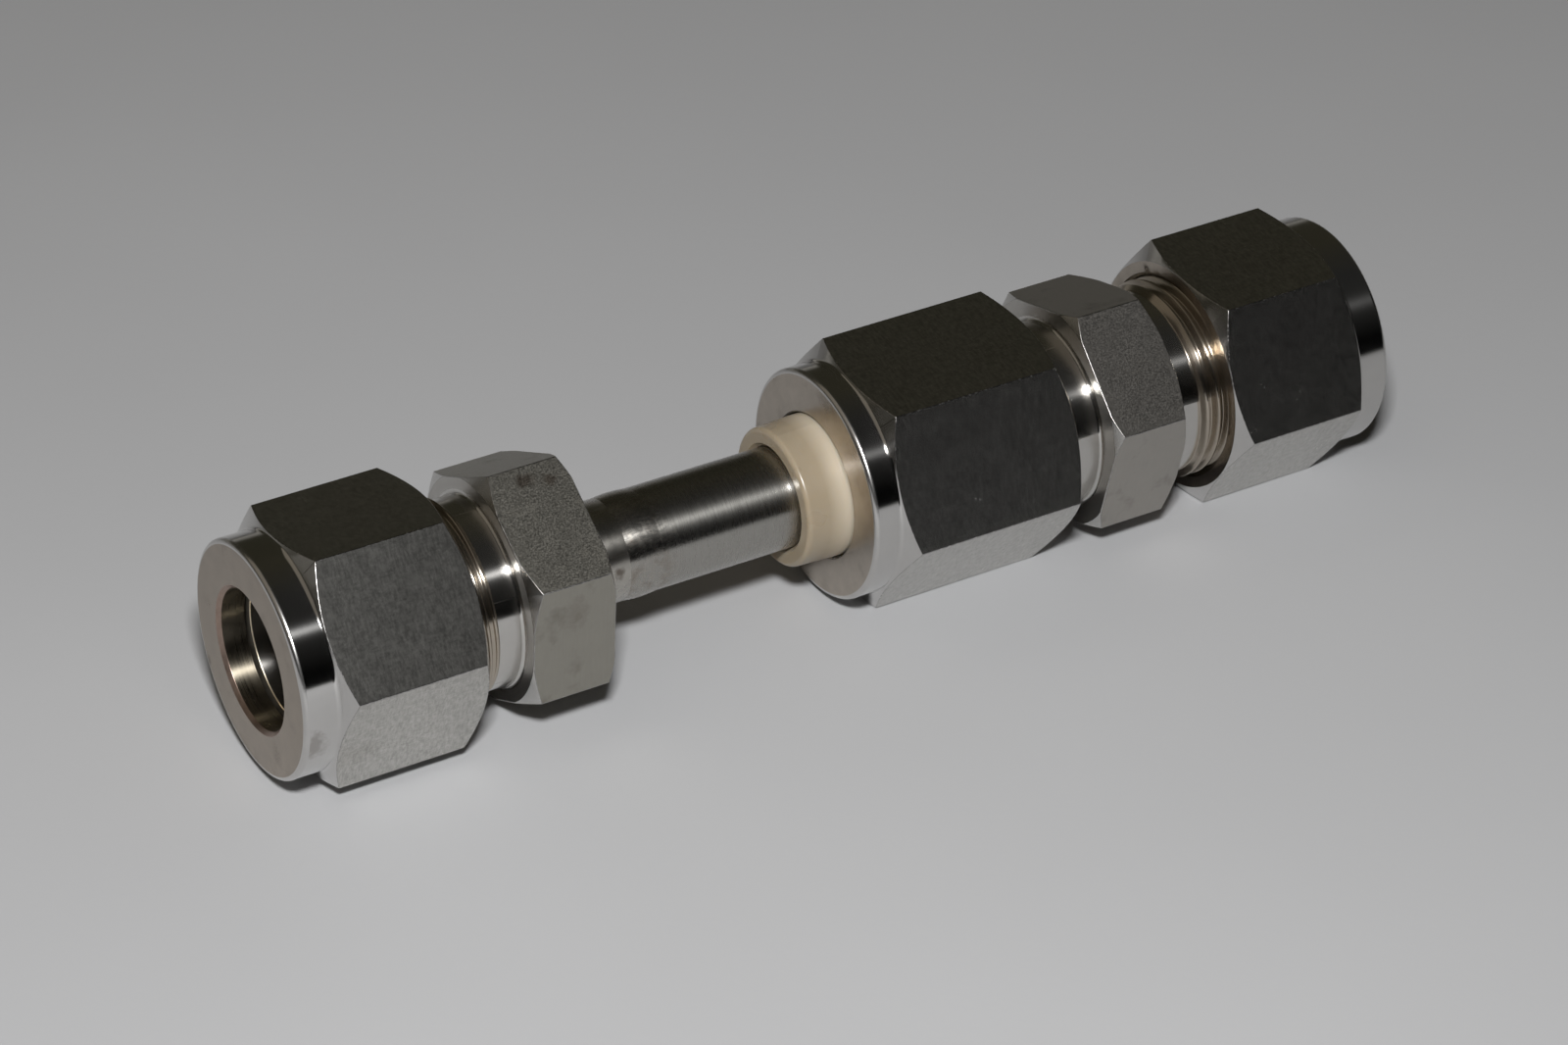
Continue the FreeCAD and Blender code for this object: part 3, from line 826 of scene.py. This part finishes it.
def make_tube_nut(node, turn, mirrored, finishes):
    """Nut with a plain collar round the tube's way in and a cavity that drives the ferrules."""
    place, length = from_outer_face(node, mirrored)
    outline = Outline(hexagon_ring(NUT_ACROSS_FLATS, turn), place)
    nut_outside(outline, length, NUT_COLLAR_LENGTH)
    nut_thread(outline, length, NUT_THREAD_START)
    outline.to(NUT_THREAD_START, NUT_CAVITY_RADIUS, BORE, EDGE_ROUND)
    outline.to(NUT_FRONT_WALL, NUT_CAVITY_RADIUS, BORE)
    outline.to(NUT_FRONT_WALL, NUT_BORE_RADIUS, BORE, EDGE_ROUND)
    outline.to(NUT_MOUTH_CHAMFER, NUT_BORE_RADIUS, RIM, EDGE_ROUND)
    outline.to(0, NUT_BORE_RADIUS + NUT_MOUTH_CHAMFER, FACE, EDGE_ROUND, RIM)
    piece = make_piece(node + "_finished", outline, finishes)
    settle(piece, node)


def make_back_ferrule(node, mirrored):
    """Ring that shows through the nut's bore: a flat back with a bevelled entry, and a bevelled nose."""
    place, length = from_outer_face(node, mirrored)
    nose_radius = FERRULE_BORE_RADIUS + FERRULE_NOSE_EDGE
    neck_radius = nose_radius + BACK_FERRULE_NOSE
    outline = Outline(round_ring(), place)
    outline.to(0, FERRULE_BORE_RADIUS + FERRULE_ENTRY, FACE, EDGE_ROUND)
    outline.to(0, BACK_FERRULE_RADIUS, FACE, EDGE_ROUND)
    outline.to(BACK_FERRULE_FLANGE, BACK_FERRULE_RADIUS, FACE, EDGE_ROUND)
    outline.to(BACK_FERRULE_FLANGE, neck_radius, FACE)
    outline.to(length - BACK_FERRULE_NOSE, neck_radius, FACE)
    outline.to(length, nose_radius, FACE)
    outline.to(length, FERRULE_BORE_RADIUS, FACE)
    # The entry bevel takes the near-black finish, which is painted shade.
    outline.to(FERRULE_ENTRY, FERRULE_BORE_RADIUS, BEVEL, FERRULE_LIP, EDGE)
    piece = make_piece(node + "_finished", outline, ferrule_finishes)
    settle(piece, node)


def make_coupling_nut():
    """Longer nut, with a bore that clears the insulator's sleeve."""
    place, length = from_outer_face("coupling_nut")
    bore = INSULATOR_SLEEVE_RADIUS + COUPLING_BORE_CLEARANCE
    cavity = INSULATOR_FLANGE_RADIUS + COUPLING_CAVITY_CLEARANCE
    outline = Outline(hexagon_ring(NUT_ACROSS_FLATS, COUPLING_NUT_TURN), place)
    nut_outside(outline, length, COUPLING_COLLAR_LENGTH)
    nut_thread(outline, length, COUPLING_THREAD_START)
    outline.to(COUPLING_THREAD_START, cavity, BORE)
    outline.to(COUPLING_FRONT_WALL, cavity, BORE)
    outline.to(COUPLING_FRONT_WALL, bore, BORE, EDGE_ROUND)
    outline.to(COUPLING_MOUTH_CHAMFER, bore, EDGE, COUPLING_MOUTH_ROUND)
    outline.to(0, bore + COUPLING_MOUTH_CHAMFER, FACE, COUPLING_MOUTH_ROUND, EDGE)
    piece = make_piece("coupling_nut_finished", outline, nut_finishes)
    settle(piece, "coupling_nut")


def tube_end(outline, stop, direction):
    """Bore, mouth and threaded outside of a tube end, from its tube stop out and back to its relief."""
    face = stop + direction * TUBE_END_REACH
    hex_face = stop + direction * SOCKET_DEPTH_IN_HEX
    relief_end = hex_face + direction * RELIEF_LENGTH
    mouth_length = (MOUTH_RADIUS - SOCKET_RADIUS) / MOUTH_SLOPE

    def limit(x):
        from_face = np.abs(x - face)
        from_relief = np.abs(x - relief_end)
        nose = THREAD_RADIUS - THREAD_CHAMFER + from_face
        return np.minimum(nose, RELIEF_RADIUS + from_relief)

    outline.to(stop, SOCKET_RADIUS, BORE)
    outline.to(face - direction * mouth_length, SOCKET_RADIUS, BORE, EDGE_ROUND)
    outline.to(face, MOUTH_RADIUS, FACE, EDGE_ROUND, EDGE)
    outline.thread(face, relief_end, limit)
    outline.to(relief_end, RELIEF_RADIUS, NECK)
    outline.to(hex_face, RELIEF_RADIUS, FACE, RELIEF_FILLET, NECK)


def make_stem_body():
    """Left tube end with its hexagon, relief and the turned stub."""
    low, high = span("stem_body")
    stop = low + TUBE_END_REACH
    hex_face = stop - SOCKET_DEPTH_IN_HEX
    hex_back = hex_face + BODY_HEX_LENGTH
    outline = Outline(hexagon_ring(BODY_ACROSS_FLATS, STEM_HEX_TURN))
    tube_end(outline, stop, -1)
    outline.chamfered(hex_face, BODY_FACE_RADIUS_OUTER, 1)
    outline.chamfered(hex_back, BODY_FACE_RADIUS_INNER, -1, first=False)
    outline.to(hex_back, STEM_RADIUS, STUB, RELIEF_FILLET)
    outline.to(high, STEM_RADIUS, BORE)
    outline.to(high, FLOW_RADIUS, BORE)
    outline.to(stop, FLOW_RADIUS, BORE, EDGE_ROUND)
    piece = make_piece("stem_body_finished", outline, stem_finishes)
    settle(piece, "stem_body")


def make_union_body():
    """Right half: seal end under the coupling nut, hexagon and the right tube end."""
    low, high = span("union_body")
    stop = high - TUBE_END_REACH
    hex_back = stop + SOCKET_DEPTH_IN_HEX
    hex_face = hex_back - BODY_HEX_LENGTH
    relief_start = hex_face - RELIEF_LENGTH
    nose = THREAD_RADIUS - THREAD_CHAMFER
    thread_start = low + SEAL_NOSE_LENGTH
    groove_start = low + SEAL_GROOVE_START
    groove_end = groove_start + SEAL_GROOVE_WIDTH
    groove_radius = UNION_BORE_RADIUS + SEAL_GROOVE_DEPTH
    bore_end = span("rear_insulator")[1] + UNION_END_CLEARANCE

    def limit(x):
        return np.minimum(nose + np.abs(x - thread_start), RELIEF_RADIUS + np.abs(x - relief_start))

    outline = Outline(hexagon_ring(BODY_ACROSS_FLATS, UNION_HEX_TURN))
    tube_end(outline, stop, 1)
    outline.chamfered(hex_back, BODY_FACE_RADIUS_OUTER, -1)
    outline.chamfered(hex_face, BODY_FACE_RADIUS_INNER, 1, first=False)
    outline.to(hex_face, RELIEF_RADIUS, NECK, RELIEF_FILLET)
    outline.to(relief_start, RELIEF_RADIUS, THREAD)
    outline.thread(relief_start, thread_start, limit)
    outline.to(thread_start, THREAD_RADIUS - THREAD_DEPTH, TURNED)
    outline.to(low, THREAD_RADIUS - THREAD_DEPTH, FACE, EDGE_ROUND, EDGE)
    outline.to(low, UNION_BORE_RADIUS, BORE, EDGE_ROUND, EDGE)
    outline.to(groove_start, UNION_BORE_RADIUS, BORE)
    outline.to(groove_start, groove_radius, BORE)
    outline.to(groove_end, groove_radius, BORE)
    outline.to(groove_end, UNION_BORE_RADIUS, BORE)
    outline.to(bore_end, UNION_BORE_RADIUS, BORE)
    outline.to(bore_end, UNION_FLOW_RADIUS, BORE, EDGE_ROUND)
    outline.to(stop, UNION_FLOW_RADIUS, BORE, EDGE_ROUND)
    piece = make_piece("union_body_finished", outline, body_finishes)
    settle(piece, "union_body")


make_tube_nut("left_nut", LEFT_NUT_TURN, mirrored=False, finishes=left_nut_finishes)
make_tube_nut("right_nut", RIGHT_NUT_TURN, mirrored=True, finishes=nut_finishes)
make_back_ferrule("left_back_ferrule", mirrored=False)
make_back_ferrule("right_back_ferrule", mirrored=True)
make_coupling_nut()
make_stem_body()
make_union_body()

# Nodes whose own solids show, with their finishes
node_finishes = {
    "left_front_ferrule": ferrule_finishes[FACE], "right_front_ferrule": ferrule_finishes[FACE],
    "weld_bead": tube_finish, "stem_tube": tube_finish,
    "front_insulator": insulator_finish, "rear_insulator": insulator_finish,
    "stem_seal_ring": seal_finish, "body_seal_ring": seal_finish,
    "stem_backup_ring": backup_finish, "body_backup_ring": backup_finish,
}
for node, finish in node_finishes.items():
    solid = frame["nodes"][node]
    solid.data.materials.clear()
    solid.data.materials.append(finish)

# Floor that the union rests on, under the stem's hexagon and the union body's. Its size is in metres.
FLOOR_SIZE = 3.0
FLOOR_DARK = (0.438, 0.441, 0.450, 1)
FLOOR_LIGHT = (0.468, 0.471, 0.480, 1)
FLOOR_ROUGHNESS = 0.75

# Frequencies per metre of its clouds and fibres, the height of the fibres in metres, and how strongly they show
FLOOR_CLOUDS = 9.0
FLOOR_FIBRES = 900.0
FIBRE_HEIGHT = 0.00002
FIBRE_SHARE = 0.4

# Points of a node that are this close in height are level
LEVEL_DISTANCE = 0.002


def lowest_corner(node):
    """The lowest point of a node, the one furthest to the right where several are level."""
    points = [vertex.co for vertex in frame["nodes"][node].data.vertices]
    level = min(point.z for point in points) + LEVEL_DISTANCE * MM
    return max((point for point in points if point.z < level), key=lambda point: point.x)


left_foot = lowest_corner("stem_body")
right_foot = lowest_corner("union_body")
floor_slope = math.atan2(right_foot.z - left_foot.z, right_foot.x - left_foot.x)


def make_floor():
    """Pale paper, large enough to fill the view."""
    mesh = bpy.data.meshes.new("floor")
    half = FLOOR_SIZE / 2
    mesh.from_pydata([(-half, -half, 0), (half, -half, 0), (half, half, 0), (-half, half, 0)], [], [(0, 1, 2, 3)])
    floor = bpy.data.objects.new("floor", mesh)
    bpy.context.scene.collection.objects.link(floor)
    floor.rotation_euler = (0, -floor_slope, 0)
    floor.location = left_foot
    material = bpy.data.materials.new("pale_floor")
    material.use_nodes = True
    g = Graph(material.node_tree)
    shader = material.node_tree.nodes["Principled BSDF"]
    place = g.add("ShaderNodeTexCoord").outputs["Object"]
    cloud = g.noise(place, FLOOR_CLOUDS, detail=3.0)
    g.feed(shader.inputs["Base Color"], g.blend(g.spread(cloud, *MEDIUM), FLOOR_DARK, FLOOR_LIGHT))
    shader.inputs["Roughness"].default_value = FLOOR_ROUGHNESS
    fibre = g.noise(place, FLOOR_FIBRES, detail=3.0)
    g.feed(shader.inputs["Normal"], g.bump(fibre, FIBRE_HEIGHT, FIBRE_SHARE))
    mesh.materials.append(material)
    floor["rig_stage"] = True


make_floor()

# Camera, placed where the photograph was taken from: millimetres, degrees, and the lens in millimetres
CAMERA_PLACE = (-165.31, -322.07, 255.36)
CAMERA_AZIMUTH = 31.30
CAMERA_ELEVATION = 34.44
CAMERA_ROLL = 1.514
LENS = 115.45
SENSOR_WIDTH = 36.0


def make_camera():
    """The photograph's camera, with all in focus."""
    data = bpy.data.cameras.new("camera")
    data.lens = LENS
    data.sensor_width = SENSOR_WIDTH
    data.sensor_fit = "HORIZONTAL"
    data.clip_start = 0.01
    data.clip_end = 20.0
    camera = bpy.data.objects.new("camera", data)
    bpy.context.scene.collection.objects.link(camera)
    aim = (Matrix.Rotation(-math.radians(CAMERA_AZIMUTH), 4, "Z")
           @ Matrix.Rotation(math.radians(90 - CAMERA_ELEVATION), 4, "X")
           @ Matrix.Rotation(math.radians(CAMERA_ROLL), 4, "Z"))
    camera.matrix_world = Matrix.Translation(Vector(CAMERA_PLACE) * MM) @ aim
    bpy.context.scene.camera = camera
    return camera


camera = make_camera()

# Lights, in metres and watts: a small key just above the camera, as a flash would be, and a wide warm soft box at
# the left. Both are aimed at the middle of the union.
LIT_MIDDLE = Vector((0.033, 0.0, 0.0))
KEY_ABOVE_CAMERA = 0.089
KEY_SIZE = (0.055, 0.035)
KEY_POWER = 2.4
FILL_PLACE = (-0.50, 0.12, 0.72)
FILL_SIZE = (1.4, 1.1)
FILL_POWER = 0.8
FILL_COLOUR = (1.0, 0.88, 0.73)


def make_area_light(name, place, size, power, colour=(1, 1, 1)):
    """Adds a rectangular light that is aimed at the union."""
    data = bpy.data.lights.new(name, "AREA")
    data.shape = "RECTANGLE"
    data.size, data.size_y = size
    data.energy = power
    data.color = colour
    light = bpy.data.objects.new(name, data)
    bpy.context.scene.collection.objects.link(light)
    light.location = place
    light.rotation_euler = (Vector(place) - LIT_MIDDLE).to_track_quat("Z", "Y").to_euler()


camera_up = camera.matrix_world.to_3x3() @ Vector((0, 1, 0))
make_area_light("key", Vector(CAMERA_PLACE) * MM + camera_up * KEY_ABOVE_CAMERA, KEY_SIZE, KEY_POWER)
make_area_light("fill", FILL_PLACE, FILL_SIZE, FILL_POWER, FILL_COLOUR)

# The dark room as steel reflects it: on the viewer's side, low and high, beyond the object, and the pale foot of
# its far wall
ROOM_NEAR_LOW = (0.002, 0.002, 0.002, 1)
ROOM_NEAR_HIGH = (0.021, 0.021, 0.020, 1)
ROOM_FAR = (0.029, 0.027, 0.0185, 1)
FAR_WALL = (0.25, 0.24, 0.22, 1)

# Where one gives way to the other, as parts of a direction: near to far, the top of the foot, and low to high
ROOM_MIDDLE = (-0.1, 0.5)
FOOT_TOP = (0.03, 0.15)
NEAR_RISE = (0.2, 0.65)


def make_world():
    """A dark room, a little paler high up and beyond the object."""
    world = bpy.data.worlds.new("room")
    bpy.context.scene.world = world
    world.use_nodes = True
    world.node_tree.nodes.clear()
    g = Graph(world.node_tree)
    direction = g.add("ShaderNodeTexCoord").outputs["Generated"]
    depth, height = g.add("ShaderNodeSeparateXYZ", {0: direction}).outputs[1:3]
    beyond = g.spread(depth, *ROOM_MIDDLE)
    foot = g.spread(height, *FOOT_TOP, 1.0, 0.0)
    near_level = g.blend(g.spread(height, *NEAR_RISE), ROOM_NEAR_LOW, ROOM_NEAR_HIGH)
    level = g.blend(beyond, near_level, ROOM_FAR)
    level = g.blend(g.math("MULTIPLY", beyond, foot), level, FAR_WALL)
    background = g.add("ShaderNodeBackground", {"Color": level, "Strength": 1.0})
    end = g.add("ShaderNodeOutputWorld")
    g.feed(end.inputs["Surface"], background.outputs[0])


make_world()

bpy.context.scene.view_settings.view_transform = "Standard"

boxes = {"cad": cad_box, "visual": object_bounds()}
{name: [list(corner) for corner in box] for name, box in boxes.items()}
